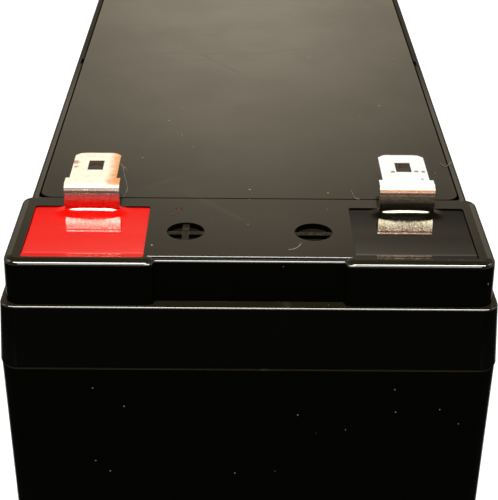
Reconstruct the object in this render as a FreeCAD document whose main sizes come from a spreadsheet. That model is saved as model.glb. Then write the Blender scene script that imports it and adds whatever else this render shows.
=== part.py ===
import FreeCAD, Part
import math
import os
import re
import Sketcher

# Sealed lead acid battery, a twelve volt block of six cells with two push-on tabs.
# Frame: +Z up, origin at the middle of the base, X across the width, Y along the length.
# Both tabs stand at the -Y end, the positive one on the -X side. Lengths are millimetres.

DIMENSIONS = {
    # Container, a drafted box with a reduced neck that the lid skirt closes over
    "case_length": 151.0,
    "case_width": 65.0,
    "corner_radius": 2.5,
    "seam_height": 78.92,
    "container_inset": 0.12,
    "container_draft": 0.7,
    "container_wall": 2.4,
    "base_radius": 0.8,
    "seam_chamfer": 0.25,
    "floor_thickness": 2.5,
    "partition_thickness": 1.4,
    "cell_corner_radius": 1.0,
    # Lid skirt and deck
    "skirt_height": 8.93,
    "skirt_wall": 1.4,
    "skirt_draft": 3.8,
    "skirt_edge_radius": 0.25,
    "deck_thickness": 2.0,
    # Raised crown of the lid, with a block at each terminal and a stepped lip between them
    "crown_height": 6.15,
    "crown_root": 1.0,
    "crown_draft": 1.2,
    "crown_inset": 1.25,
    "crown_edge_radius": 0.5,
    "crown_slope_width": 1.0,
    "crown_slope_drop": 0.2,
    "core_inset": 2.45,
    "core_corner_radius": 2.0,
    "block_inset": 1.4,
    "block_length": 18.83,
    "block_corner_radius": 2.0,
    "block_rear_radius": 1.6,
    "block_inner_radius": 1.2,
    "block_end_radius": 0.55,
    "lip_recess": 1.0,
    "lip_ledge": 0.7,
    "lip_step": 0.25,
    "lip_edge_radius": 0.3,
    "lip_crest_radius": 0.15,
    "lip_depth": 3.0,
    "lip_tuck": 1.2,
    "lip_corner_radius": 0.42,
    # Recess for the vent cover, and the gallery below it
    "front_deck": 18.19,
    "rim_width": 1.0,
    "recess_corner_radius": 0.8,
    "cover_thickness": 1.8,
    "cover_gap": 0.12,
    "cover_corner_radius": 1.8,
    "cover_edge_radius": 0.15,
    "cover_seat": 1.3,
    "gas_slot_length": 2.6,
    "gas_slot_depth": 0.6,
    "gas_slot_reach": 0.3,
    "gas_slot_offset": 2.0,
    # Vent chimneys, valve caps and their hold-down bosses
    "chimney_radius": 3.2,
    "chimney_height": 2.6,
    "chimney_inset": 5.98,
    "vent_radius": 1.2,
    "cap_wall": 1.2,
    "cap_crown": 1.0,
    "cap_skirt_gap": 0.3,
    "cap_edge_radius": 0.5,
    "boss_radius": 2.5,
    # Terminal wells and the hollows between them
    "well_width": 15.57,
    "well_length": 14.29,
    "well_side_wall": 2.08,
    "well_inner_wall": 1.28,
    "well_front_wall": 1.38,
    "well_corner_radius": 0.4,
    "seal_recess": 0.35,
    "meniscus_height": 0.9,
    "meniscus_reach": 0.9,
    "meniscus_depth": 0.7,
    "hollow_wall": 1.5,
    "hollow_roof": 1.9,
    # Polarity marks
    "mark_radius": 2.46,
    "mark_depth": 0.8,
    "mark_bar_width": 0.9,
    "mark_bar_drop": 0.25,
    "mark_inset": 3.8,
    # Push-on tabs
    "tab_thickness": 0.8,
    "tab_root_width": 7.4,
    "tab_blade_width": 6.35,
    "tab_blade_length": 8.7,
    "tab_shoulder": 2.5,
    "tab_height": 3.55,
    "tab_bend_radius": 0.4,
    "tab_tip_chamfer": 1.3,
    "tab_bevel_length": 0.6,
    "tab_bevel_depth": 0.2,
    "tab_hole_width": 2.1,
    "tab_hole_length": 3.0,
    "tab_hole_inset": 4.6,
    "tab_foot_length": 10.0,
    "tab_riser_offset": 6.1,
    # Lead posts and their rubber rings
    "post_radius": 3.75,
    "post_flange_radius": 4.6,
    "post_flange_height": 1.2,
    "post_collar_radius": 5.2,
    "post_collar_height": 1.5,
    "post_stem_radius": 3.0,
    "post_pin_radius": 1.8,
    "post_head_radius": 2.7,
    "post_head_height": 1.0,
    "ring_radius": 4.7,
    "ring_height": 1.4,
    "ring_corner_radius": 0.45,
    # Plate stacks
    "positive_thickness": 2.6,
    "negative_thickness": 1.9,
    "stack_gap": 0.45,
    "plate_end_gap": 1.43,
    "plate_headroom": 16.0,
    "plate_lift": 2.0,
    "separator_end_gap": 0.63,
    "separator_rise": 1.5,
    "lug_width": 8.0,
    "lug_inset": 3.0,
    "lug_rise": 6.0,
    # Cast straps and the welds through the partitions
    "strap_width": 10.0,
    "strap_height": 3.5,
    "strap_lift": 4.0,
    "upright_width": 12.0,
    "upright_clearance": 2.0,
    "upright_thickness": 2.4,
    "weld_radius": 3.0,
    "weld_margin": 0.5,
}

COLUMNS = 2
ROWS = 3
POSITIVE_PLATES = 4
NEGATIVE_PLATES = POSITIVE_PLATES + 1
SEPARATORS = 2 * POSITIVE_PLATES
NODE_FOLDER = "parts"

# Heights
LEDGE = "(seam_height + skirt_height)"
LID_TOP = f"({LEDGE} + crown_height)"
DECK_UNDERSIDE = f"({LEDGE} - deck_thickness)"
COVER_UNDERSIDE = f"({LID_TOP} - cover_thickness)"
CHIMNEY_TOP = f"({LEDGE} + chimney_height)"
CAP_TOP = f"({CHIMNEY_TOP} + cap_crown)"
SEAL_TOP = f"({LID_TOP} - seal_recess)"
TAB_TOP = f"({LID_TOP} + tab_height)"
PLATE_BOTTOM = "(floor_thickness + plate_lift)"
PLATE_TOP = f"({DECK_UNDERSIDE} - plate_headroom)"
SEPARATOR_TOP = f"({PLATE_TOP} + separator_rise)"
STRAP_BOTTOM = f"({PLATE_TOP} + strap_lift)"
STRAP_TOP = f"({STRAP_BOTTOM} + strap_height)"
UPRIGHT_TOP = f"({DECK_UNDERSIDE} - upright_clearance)"
WELD_HEIGHT = f"({UPRIGHT_TOP} - weld_margin - weld_radius)"

# Plan of the container
CONTAINER_SIDE = "(case_width / 2 - container_inset)"
CONTAINER_END = "(case_length / 2 - container_inset)"
NECK_SIDE = f"({CONTAINER_SIDE} - skirt_wall)"
NECK_END = f"({CONTAINER_END} - skirt_wall)"
CELL_WIDTH = f"({CONTAINER_SIDE} - container_wall - partition_thickness / 2)"
CELL_LENGTH = f"((2 * ({CONTAINER_END} - container_wall) - 2 * partition_thickness) / 3)"
CELL_X = f"((partition_thickness + {CELL_WIDTH}) / 2)"
CELL_PITCH = f"({CELL_LENGTH} + partition_thickness)"

# Plan of the lid
CROWN_END = "(case_length / 2 - crown_inset)"
BLOCK_SIDE = "(case_width / 2 - block_inset)"
CORE_SIDE = "(case_width / 2 - core_inset)"
LIP_FRONT = f"({CROWN_END} - lip_recess)"
LIP_CREST = f"({LIP_FRONT} - lip_ledge)"
RECESS_SIDE = f"({CORE_SIDE} - rim_width)"
RECESS_FRONT = f"({CROWN_END} - front_deck)"
RECESS_REAR = f"({CROWN_END} - rim_width)"
TERMINAL_X = f"({BLOCK_SIDE} - well_side_wall - well_width / 2)"
BLOCK_INNER = f"({TERMINAL_X} - well_width / 2 - well_inner_wall)"
MARK_X = f"({BLOCK_INNER} - mark_inset)"
TERMINAL_Y = f"(-{CROWN_END} + well_front_wall + well_length / 2)"
RISER_BACK = f"({TERMINAL_Y} + tab_riser_offset + tab_thickness)"
FRONT_VENT_Y = f"(-{RECESS_FRONT} + cover_seat + chimney_inset)"

# Plate stack, from one outer negative plate to the other, with the mats squeezed to fit
PLATE_LENGTH = f"({CELL_LENGTH} - 2 * plate_end_gap)"
SEPARATOR_LENGTH = f"({CELL_LENGTH} - 2 * separator_end_gap)"
STACK_WIDTH = f"({CELL_WIDTH} - 2 * stack_gap)"
PLATES_WIDTH = f"({POSITIVE_PLATES} * positive_thickness + {NEGATIVE_PLATES} * negative_thickness)"
SEPARATOR_THICKNESS = f"(({STACK_WIDTH} - {PLATES_WIDTH}) / {SEPARATORS})"
PLATE_PERIOD = f"(positive_thickness + negative_thickness + 2 * {SEPARATOR_THICKNESS})"
STRAP_Y = f"({PLATE_LENGTH} / 2 - lug_inset - lug_width / 2)"

document = FreeCAD.newDocument("SealedLeadAcidBattery")
sheet = document.addObject("Spreadsheet::Sheet", "Dimensions")
for row, (alias, size) in enumerate(DIMENSIONS.items(), start=1):
    sheet.set(f"A{row}", alias)
    sheet.set(f"B{row}", str(size))
    sheet.setAlias(f"B{row}", alias)
document.recompute()

nodes = []


def formula(text):
    """Write a sum of dimension names as an expression on the sheet."""
    return re.sub(
        r"[a-z_]+",
        lambda word: f"Dimensions.{word[0]}" if word[0] in DIMENSIONS else word[0],
        str(text),
    )


def value(text):
    """Work out a sum of dimension names as a number."""
    return float(sheet.evalExpression(formula(text)))


def bind(thing, prop, text):
    """Tie a property of an object to a sum of dimension names."""
    thing.setExpression(prop, formula(text))


def place(thing, x="0", y="0", z="0"):
    """Tie the place of an object to sums of dimension names."""
    for axis, text in zip("xyz", (x, y, z)):
        bind(thing, f"Placement.Base.{axis}", text)
    return thing


# Part primitives and booleans

def box(name, low, high):
    """Box between two corners."""
    solid = document.addObject("Part::Box", name)
    for prop, start, end in zip(("Length", "Width", "Height"), low, high):
        bind(solid, prop, f"({end}) - ({start})")
    return place(solid, *low)


def cylinder(name, centre, radius, bottom, top):
    """Upright cylinder."""
    solid = document.addObject("Part::Cylinder", name)
    bind(solid, "Radius", radius)
    bind(solid, "Height", f"({top}) - ({bottom})")
    return place(solid, centre[0], centre[1], bottom)


def fuse(name, shapes):
    """Join several solids."""
    joined = document.addObject("Part::MultiFuse", name)
    joined.Shapes = shapes
    joined.Refine = True
    return joined


def cut(name, base, tools):
    """Take several solids from one."""
    result = document.addObject("Part::Cut", name)
    result.Base = base
    result.Tool = tools[0] if len(tools) == 1 else fuse(f"{name}_tools", tools)
    result.Refine = True
    return result


# Bodies, sketches and features

def new_body(name):
    """Start a body."""
    body = document.addObject("PartDesign::Body", name)
    body.Label = name
    return body


def new_sketch(body, plane, offset="0"):
    """Start a sketch on a plane of the body, moved along the plane's normal."""
    sketch = body.newObject("Sketcher::SketchObject", f"{body.Name}_sketch")
    origin_plane = next(part for part in body.Origin.OriginFeatures if part.Role == plane)
    sketch.AttachmentSupport = [(origin_plane, "")]
    sketch.MapMode = "FlatFace"
    bind(sketch, "AttachmentOffset.Base.z", offset)
    return sketch


def constrain(sketch, kind, items, text):
    """Add a dimension to a sketch and tie it to the sheet."""
    index = sketch.addConstraint(Sketcher.Constraint(kind, *items, value(text)))
    name = f"size_{index}"
    sketch.renameConstraint(index, name)
    bind(sketch, f"Constraints.{name}", text)


def corner_arc(sketch, point, inward, outward, radius):
    """Add the arc that rounds a corner, and say which of its ends comes first."""
    start = point - inward * radius
    end = point + outward * radius
    centre = start + outward * radius
    turns_left = inward.cross(outward).z > 0
    first, last = (start, end) if turns_left else (end, start)
    angles = [math.atan2(tip.y - centre.y, tip.x - centre.x) for tip in (first, last)]
    if angles[1] < angles[0]:
        angles[1] += 2 * math.pi
    circle = Part.Circle(centre, FreeCAD.Vector(0, 0, 1), radius)
    arc = sketch.addGeometry(Part.ArcOfCircle(circle, *angles), False)
    return arc, (1, 2) if turns_left else (2, 1)


def outline(sketch, corners):
    """Draw a closed outline of level and upright lines with rounded corners.

    Each corner is (x, y, radius), with the radius "0" where the corner is sharp.
    """
    points = [FreeCAD.Vector(value(x), value(y), 0) for x, y, _ in corners]
    radii = [value(radius) for _, _, radius in corners]
    count = len(corners)
    headings = [(points[(k + 1) % count] - points[k]).normalize() for k in range(count)]
    lines = []
    for k, heading in enumerate(headings):
        start = points[k] + heading * radii[k]
        end = points[(k + 1) % count] - heading * radii[(k + 1) % count]
        line = sketch.addGeometry(Part.LineSegment(start, end), False)
        upright = abs(heading.x) < 0.5
        sketch.addConstraint(Sketcher.Constraint("Vertical" if upright else "Horizontal", line))
        kind, text = ("DistanceX", corners[k][0]) if upright else ("DistanceY", corners[k][1])
        constrain(sketch, kind, (-1, 1, line, 1), text)
        lines.append(line)
    for k in range(count):
        before, after = lines[k - 1], lines[k]
        if radii[k] == 0:
            sketch.addConstraint(Sketcher.Constraint("Coincident", before, 2, after, 1))
            continue
        arc, ends = corner_arc(sketch, points[k], headings[k - 1], headings[k], radii[k])
        sketch.addConstraint(Sketcher.Constraint("Tangent", before, 2, arc, ends[0]))
        sketch.addConstraint(Sketcher.Constraint("Tangent", arc, ends[1], after, 1))
        constrain(sketch, "Radius", (arc,), corners[k][2])


def rectangle(sketch, low, high, radii):
    """Draw a rectangle; the radii start at its low corner and run anticlockwise."""
    (left, near), (right, far) = low, high
    places = ((left, near), (right, near), (right, far), (left, far))
    outline(sketch, [(x, y, radius) for (x, y), radius in zip(places, radii)])


def polygon(sketch, points):
    """Draw a closed polygon through fixed points."""
    spots = [FreeCAD.Vector(value(x), value(y), 0) for x, y in points]
    count = len(points)
    lines = [
        sketch.addGeometry(Part.LineSegment(spots[k], spots[(k + 1) % count]), False)
        for k in range(count)
    ]
    for k, (x, y) in enumerate(points):
        sketch.addConstraint(Sketcher.Constraint("Coincident", lines[k - 1], 2, lines[k], 1))
        constrain(sketch, "DistanceX", (-1, 1, lines[k], 1), x)
        constrain(sketch, "DistanceY", (-1, 1, lines[k], 1), y)


def circle(sketch, x, y, radius):
    """Draw a circle."""
    shape = Part.Circle(FreeCAD.Vector(value(x), value(y), 0), FreeCAD.Vector(0, 0, 1), value(radius))
    ring = sketch.addGeometry(shape, False)
    constrain(sketch, "DistanceX", (-1, 1, ring, 3), x)
    constrain(sketch, "DistanceY", (-1, 1, ring, 3), y)
    constrain(sketch, "Radius", (ring,), radius)


def extrude(kind, sketch, length, down=False, taper=None):
    """Pad or pocket a sketch."""
    body = sketch.getParentGeoFeatureGroup()
    feature = body.newObject(f"PartDesign::{kind}", f"{body.Name}_{kind.lower()}")
    feature.Profile = sketch
    feature.Reversed = down
    bind(feature, "Length", length)
    if taper is not None:
        bind(feature, "TaperAngle", taper)
    return feature


def revolve(sketch):
    """Turn a sketch once round its upright axis."""
    body = sketch.getParentGeoFeatureGroup()
    feature = body.newObject("PartDesign::Revolution", f"{body.Name}_turned")
    feature.Profile = sketch
    feature.ReferenceAxis = (sketch, ["V_Axis"])
    feature.Angle = 360
    return feature


def dress(kind, feature, height, prop, text):
    """Round or chamfer every edge of a feature that lies at one height."""
    document.recompute()
    level = value(height)
    names = [
        f"Edge{number}"
        for number, edge in enumerate(feature.Shape.Edges, start=1)
        if abs(edge.BoundBox.ZMin - level) < 1e-4 and abs(edge.BoundBox.ZMax - level) < 1e-4
    ]
    body = feature.getParentGeoFeatureGroup()
    dressed = body.newObject(f"PartDesign::{kind}", f"{body.Name}_{kind.lower()}")
    dressed.Base = (feature, names)
    bind(dressed, prop, text)
    return dressed


def slab(name, low, high, radii, bottom, top, from_top=False, taper=None):
    """Body that is one rounded rectangle, drawn at its top or its bottom and padded."""
    body = new_body(name)
    sketch = new_sketch(body, "XY_Plane", top if from_top else bottom)
    rectangle(sketch, low, high, radii)
    pad = extrude("Pad", sketch, f"({top}) - ({bottom})", down=from_top, taper=taper)
    return body, pad


def finish(solid, name):
    """Keep an object as a node under its own name."""
    solid.Label = name
    nodes.append(solid)
    return solid


def cell_centres():
    """Give each cell's number, place and half turn, in the order of the current.

    The current runs up the -X column from the positive tab and back down the other.
    """
    centres = []
    for number in range(COLUMNS * ROWS):
        right = number >= ROWS
        row_from_front = COLUMNS * ROWS - 1 - number if right else number
        x = CELL_X if right else f"-{CELL_X}"
        y = f"({row_from_front - 1}) * {CELL_PITCH}"
        centres.append((number + 1, x, y, 180 if right else 0))
    return centres


def vent_centres():
    """Give each cell's number and the place of its vent.

    The vents of the front cells stand back from the terminals, at the gallery's front.
    """
    front = {1, COLUMNS * ROWS}
    return [(number, x, FRONT_VENT_Y if number in front else y) for number, x, y, _ in cell_centres()]


def sides():
    """Give the name and the sign of X of each terminal."""
    return (("positive", -1), ("negative", 1))


def span(sign, near, far):
    """Order two distances from the middle as low and high X on one side."""
    return (near, far) if sign > 0 else (f"-{far}", f"-{near}")


def build_container():
    """Open box with a neck for the lid skirt and partitions for six cells."""
    corner = ("corner_radius",) * 4
    body, shell = slab(
        "container_body", (f"-{CONTAINER_SIDE}", f"-{CONTAINER_END}"), (CONTAINER_SIDE, CONTAINER_END),
        corner, "0", "seam_height", from_top=True, taper="-container_draft",
    )
    dress("Fillet", shell, "0", "Radius", "base_radius")
    dress("Chamfer", body.Tip, "seam_height", "Size", "seam_chamfer")
    neck = new_sketch(body, "XY_Plane", "seam_height - crown_root")
    rectangle(neck, (f"-{NECK_SIDE}", f"-{NECK_END}"), (NECK_SIDE, NECK_END),
              ("corner_radius - skirt_wall",) * 4)
    extrude("Pad", neck, f"{DECK_UNDERSIDE} - seam_height + crown_root")
    cells = []
    for sign in (-1, 1):
        sketch = new_sketch(body, "XY_Plane", DECK_UNDERSIDE)
        left, right = span(sign, "partition_thickness / 2", f"(partition_thickness / 2 + {CELL_WIDTH})")
        near = f"-1.5 * {CELL_LENGTH} - partition_thickness"
        rectangle(sketch, (left, near), (right, f"{near} + {CELL_LENGTH}"),
                  ("cell_corner_radius",) * 4)
        cells.append(extrude("Pocket", sketch, f"{DECK_UNDERSIDE} - floor_thickness"))
    rows = body.newObject("PartDesign::LinearPattern", "container_rows")
    rows.Originals = cells
    rows.Direction = (cells[0].Profile[0], ["V_Axis"])
    bind(rows, "Length", f"{ROWS - 1} * {CELL_PITCH}")
    rows.Occurrences = ROWS
    body.Tip = rows
    windows = []
    for number, x, y, turn in cell_centres()[:-1]:
        window = document.addObject("Part::Cylinder", f"weld_window_{number}")
        bind(window, "Radius", "weld_radius")
        bind(window, "Height", "3 * partition_thickness")
        sign = -1 if turn else 1
        if number == ROWS:
            place(window, "-1.5 * partition_thickness", f"{y} + {STRAP_Y}", WELD_HEIGHT)
            axis = FreeCAD.Vector(0, 1, 0)
        else:
            place(window, x, f"{y} + {sign} * ({CELL_PITCH} / 2 + 1.5 * partition_thickness)", WELD_HEIGHT)
            axis = FreeCAD.Vector(sign, 0, 0)
        window.Placement.Rotation = FreeCAD.Rotation(axis, 90)
        windows.append(window)
    finish(cut("container_shape", body, windows), "container")


def soften(pad):
    """Slope the rim of a raised piece outwards and round its edge."""
    slope = dress("Chamfer", pad, LID_TOP, "Size", "crown_slope_width")
    slope.ChamferType = "Two distances"
    slope.FlipDirection = True
    bind(slope, "Size2", "crown_slope_drop")
    dress("Fillet", slope, f"{LID_TOP} - crown_slope_drop", "Radius", "crown_edge_radius")


def crown_pieces():
    """Raised parts of the lid: core, terminal blocks and the stepped lip between them.

    A rounded corner piece leads from the face of the lip round to the side of each block.
    """
    root = f"{LEDGE} - crown_root"
    pieces = []
    core, pad = slab(
        "lid_core", (f"-{CORE_SIDE}", f"-{LIP_CREST} + lip_depth / 2"), (CORE_SIDE, CROWN_END),
        ("core_corner_radius",) * 4, root, LID_TOP, from_top=True, taper="crown_draft",
    )
    soften(pad)
    pieces.append(core)
    for name, sign in sides():
        low, high = span(sign, BLOCK_INNER, BLOCK_SIDE)
        radii = ["block_corner_radius", "block_inner_radius", "block_inner_radius", "block_rear_radius"]
        if sign > 0:
            radii = [radii[1], radii[0], radii[3], radii[2]]
        block, pad = slab(
            f"lid_{name}_block", (low, f"-{CROWN_END}"), (high, f"-{CROWN_END} + block_length"),
            radii, root, LID_TOP, from_top=True, taper="crown_draft",
        )
        soften(pad)
        pieces.append(block)
        corner, pad = lip_corner(f"lid_{name}_corner", sign, root)
        dress("Fillet", pad, f"{LID_TOP} - lip_step", "Radius", "lip_edge_radius")
        pieces.append(corner)
    lip = new_body("lid_lip")
    profile = new_sketch(lip, "YZ_Plane", f"-({BLOCK_INNER} + lip_tuck)")
    outline(profile, [
        (f"-{LIP_FRONT}", root, "0"),
        (f"-{LIP_CREST} + lip_depth", root, "0"),
        (f"-{LIP_CREST} + lip_depth", LID_TOP, "0"),
        (f"-{LIP_CREST}", LID_TOP, "lip_crest_radius"),
        (f"-{LIP_CREST}", f"{LID_TOP} - lip_step", "0"),
        (f"-{LIP_FRONT}", f"{LID_TOP} - lip_step", "lip_edge_radius"),
    ])
    extrude("Pad", profile, f"2 * ({BLOCK_INNER} + lip_tuck)")
    pieces.append(lip)
    return pieces


def lip_corner(name, sign, root):
    """Corner piece with a hollow curve between the lip's face and a block's inner side."""
    body = new_body(name)
    sketch = new_sketch(body, "XY_Plane", root)
    into_block = f"{sign} * ({BLOCK_INNER} + 1.2 * block_inner_radius)"
    into_lip = f"{sign} * ({BLOCK_INNER} - 2 * lip_recess)"
    side = f"{sign} * {BLOCK_INNER}"
    corners = [
        (into_block, f"-{CROWN_END}", "0"),
        (side, f"-{CROWN_END}", "block_end_radius"),
        (side, f"-{LIP_FRONT}", "lip_corner_radius"),
        (into_lip, f"-{LIP_FRONT}", "0"),
        (into_lip, f"-{LIP_CREST} + lip_depth / 2", "0"),
        (into_block, f"-{LIP_CREST} + lip_depth / 2", "0"),
    ]
    outline(sketch, corners)
    return body, extrude("Pad", sketch, f"{LID_TOP} - lip_step - ({root})")


def polarity_marks():
    """Round recesses of the polarity marks, each with its bars left standing."""
    marks = []
    reach = "(mark_radius + mark_bar_width)"
    for name, sign in sides():
        centre = (f"{sign} * {MARK_X}", TERMINAL_Y)
        bottom = f"{LID_TOP} - mark_depth"
        recess = cylinder(f"{name}_mark_recess", centre, "mark_radius", bottom, f"{LID_TOP} + mark_depth")
        bars = [(reach, "mark_bar_width / 2")]
        if name == "positive":
            bars.append(("mark_bar_width / 2", reach))
        solids = [
            box(
                f"{name}_mark_bar",
                (f"{centre[0]} - {half_x}", f"{centre[1]} - {half_y}", f"{bottom} - mark_depth"),
                (f"{centre[0]} + {half_x}", f"{centre[1]} + {half_y}", f"{LID_TOP} - mark_bar_drop"),
            )
            for half_x, half_y in bars
        ]
        marks.append(cut(f"{name}_mark", recess, solids))
    return marks


def well_slab(name, sign, bottom, top):
    """Body with the plan of a terminal well."""
    low, high = span(sign, f"({TERMINAL_X} - well_width / 2)", f"({TERMINAL_X} + well_width / 2)")
    return slab(
        name, (low, f"{TERMINAL_Y} - well_length / 2"), (high, f"{TERMINAL_Y} + well_length / 2"),
        ("well_corner_radius",) * 4, bottom, top,
    )[0]


def build_lid():
    """Moulded lid: skirt, crown, wells, polarity marks and the vent gallery."""
    above = f"{LID_TOP} + crown_height"
    skirt, pad = slab(
        "lid_skirt", ("-case_width / 2", "-case_length / 2"), ("case_width / 2", "case_length / 2"),
        ("corner_radius",) * 4, "seam_height", LEDGE, taper="-skirt_draft",
    )
    dress("Fillet", pad, LEDGE, "Radius", "skirt_edge_radius")
    dress("Chamfer", skirt.Tip, "seam_height", "Size", "seam_chamfer")
    solid = fuse("lid_solid", [skirt] + crown_pieces())
    tools = polarity_marks()
    tools.append(slab(
        "lid_neck_space", (f"-{NECK_SIDE}", f"-{NECK_END}"), (NECK_SIDE, NECK_END),
        ("corner_radius - skirt_wall",) * 4, "seam_height - crown_root", DECK_UNDERSIDE,
    )[0])
    tools.append(slab(
        "cover_recess", (f"-{RECESS_SIDE}", f"-{RECESS_FRONT}"), (RECESS_SIDE, RECESS_REAR),
        ("recess_corner_radius",) * 4, COVER_UNDERSIDE, above,
    )[0])
    tools.append(slab(
        "vent_gallery", (f"-{RECESS_SIDE} + cover_seat", f"-{RECESS_FRONT} + cover_seat"),
        (f"{RECESS_SIDE} - cover_seat", f"{RECESS_REAR} - cover_seat"),
        ("recess_corner_radius",) * 4, LEDGE, above,
    )[0])
    for name, sign in sides():
        tools.append(well_slab(f"{name}_well", sign, LEDGE, above))
        centre = (f"{sign} * {TERMINAL_X}", TERMINAL_Y)
        tools.append(cylinder(f"{name}_stem_hole", centre, "post_stem_radius",
                              f"{DECK_UNDERSIDE} - ring_height", above))
        tools.append(cylinder(f"{name}_ring_seat", centre, "ring_radius",
                              f"{DECK_UNDERSIDE} - ring_height", f"{DECK_UNDERSIDE} + ring_height"))
        left, right = span(sign, "(partition_thickness / 2 + hollow_wall)", f"({BLOCK_INNER} - hollow_wall / 2)")
        tools.append(box(
            f"{name}_hollow",
            (left, f"-{LIP_CREST} + hollow_wall", f"{DECK_UNDERSIDE} - crown_root"),
            (right, f"-{RECESS_FRONT} - hollow_wall", f"{LID_TOP} - hollow_roof"),
        ))
        slot_inner, slot_outer = span(sign, f"({RECESS_SIDE} - cover_seat)", f"({RECESS_SIDE} + gas_slot_reach)")
        tools.append(box(
            f"{name}_gas_slot",
            (slot_inner, "-gas_slot_offset - gas_slot_length / 2", f"{LID_TOP} - gas_slot_depth"),
            (slot_outer, "-gas_slot_offset + gas_slot_length / 2", above),
        ))
    shell = cut("lid_shell", solid, tools)
    chimneys = []
    vents = []
    for number, x, y in vent_centres():
        chimneys.append(cylinder(f"chimney_{number}", (x, y), "chimney_radius",
                                 f"{LEDGE} - deck_thickness / 2", CHIMNEY_TOP))
        vents.append(cylinder(f"vent_{number}", (x, y), "vent_radius",
                              f"{DECK_UNDERSIDE} - crown_root", above))
    with_chimneys = fuse("lid_with_chimneys", [shell] + chimneys)
    finish(cut("lid_shape", with_chimneys, vents), "lid")


def build_vent_cover():
    """Flush cover plate with a boss above each valve cap."""
    side = f"({RECESS_SIDE} - cover_gap)"
    cover, pad = slab(
        "vent_cover", (f"-{side}", f"-{RECESS_FRONT} + cover_gap"), (side, f"{RECESS_REAR} - cover_gap"),
        ("cover_corner_radius",) * 4, COVER_UNDERSIDE, LID_TOP,
    )
    dress("Fillet", pad, LID_TOP, "Radius", "cover_edge_radius")
    bosses = new_sketch(cover, "XY_Plane", CAP_TOP)
    for _, x, y in vent_centres():
        circle(bosses, x, y, "boss_radius")
    extrude("Pad", bosses, f"{COVER_UNDERSIDE} + cover_thickness / 2 - {CAP_TOP}")
    finish(cover, "vent_cover")


def build_valve_caps():
    """Rubber cap over each chimney."""
    outer = "(chimney_radius + cap_wall)"
    rim = f"({LEDGE} + cap_skirt_gap)"
    for number, x, y in vent_centres():
        cap = place(new_body(f"valve_cap_{number}"), x, y)
        profile = new_sketch(cap, "XZ_Plane")
        outline(profile, [
            ("chimney_radius", rim, "0"),
            (outer, rim, "0"),
            (outer, CAP_TOP, "cap_edge_radius"),
            ("0", CAP_TOP, "0"),
            ("0", CHIMNEY_TOP, "0"),
            ("chimney_radius", CHIMNEY_TOP, "0"),
        ])
        revolve(profile)
        finish(cap, f"valve_cap_{number}")


def build_tab(name, sign):
    """Bent metal strip: a foot on the well floor, a riser and a push-on blade."""
    tab = place(new_body(f"{name}_tab"), f"{sign} * {TERMINAL_X}")
    profile = new_sketch(tab, "YZ_Plane", "-tab_root_width / 2")
    riser_front = f"({RISER_BACK} - tab_thickness)"
    tip = f"({riser_front} + tab_shoulder + tab_blade_length)"
    outer_bend = "(tab_bend_radius + tab_thickness)"
    foot_end = f"{riser_front} - tab_foot_length"
    outline(profile, [
        (foot_end, LEDGE, "0"),
        (RISER_BACK, LEDGE, outer_bend),
        (RISER_BACK, f"{TAB_TOP} - tab_thickness", "tab_bend_radius"),
        (tip, f"{TAB_TOP} - tab_thickness", "0"),
        (tip, TAB_TOP, "0"),
        (riser_front, TAB_TOP, outer_bend),
        (riser_front, f"{LEDGE} + tab_thickness", "tab_bend_radius"),
        (foot_end, f"{LEDGE} + tab_thickness", "0"),
    ])
    extrude("Pad", profile, "tab_root_width")
    shoulder = f"({riser_front} + tab_shoulder)"
    plan = new_sketch(tab, "XY_Plane", f"{TAB_TOP} + tab_thickness")
    for side in (-1, 1):
        blade_edge = f"{side} * tab_blade_width / 2"
        clear = f"{side} * tab_root_width"
        polygon(plan, [
            (blade_edge, shoulder),
            (clear, shoulder),
            (clear, f"{tip} + tab_thickness"),
            (f"{side} * (tab_blade_width / 2 - tab_tip_chamfer - tab_thickness)", f"{tip} + tab_thickness"),
            (blade_edge, f"{tip} - tab_tip_chamfer"),
        ])
    hole_far = f"{tip} - tab_hole_inset + tab_hole_length / 2"
    rectangle(plan, ("-tab_hole_width / 2", f"{hole_far} - tab_hole_length"),
              ("tab_hole_width / 2", hole_far), ("0",) * 4)
    extrude("Pocket", plan, "3 * tab_thickness")
    bevels = new_sketch(tab, "YZ_Plane")
    for face, outwards in ((TAB_TOP, 1), (f"({TAB_TOP} - tab_thickness)", -1)):
        beyond = f"{face} + {outwards} * tab_thickness"
        polygon(bevels, [
            (f"{tip} - tab_bevel_length", face),
            (tip, f"{face} - {outwards} * tab_bevel_depth"),
            (f"{tip} + tab_thickness", f"{face} - {outwards} * tab_bevel_depth"),
            (f"{tip} + tab_thickness", beyond),
            (f"{tip} - tab_bevel_length", beyond),
        ])
    extrude("Pocket", bevels, "tab_root_width").Midplane = True
    rivet_hole = new_sketch(tab, "XY_Plane", f"{LEDGE} + 2 * tab_thickness")
    circle(rivet_hole, "0", TERMINAL_Y, "post_pin_radius")
    extrude("Pocket", rivet_hole, "3 * tab_thickness")
    return finish(tab, f"{name}_tab")


def build_post(name, sign):
    """Lead post from the end strap up to the tab foot, headed over the foot."""
    post = place(new_body(f"{name}_post"), f"{sign} * {TERMINAL_X}", TERMINAL_Y)
    profile = new_sketch(post, "XZ_Plane")
    foot_top = f"{LEDGE} + tab_thickness"
    steps = [
        ("post_flange_radius", f"{STRAP_TOP} + post_flange_height"),
        ("post_radius", f"{DECK_UNDERSIDE} - post_collar_height"),
        ("post_collar_radius", DECK_UNDERSIDE),
        ("post_stem_radius", LEDGE),
        ("post_pin_radius", foot_top),
    ]
    corners = [("0", STRAP_TOP, "0")]
    level = STRAP_TOP
    for radius, top in steps:
        corners += [(radius, level, "0"), (radius, top, "0")]
        level = top
    crown = f"{foot_top} + post_head_height"
    corners += [
        ("post_head_radius", foot_top, "0"),
        ("post_head_radius", crown, "post_head_height / 2"),
        ("0", crown, "0"),
    ]
    outline(profile, corners)
    revolve(profile)
    return finish(post, f"{name}_post")


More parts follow.
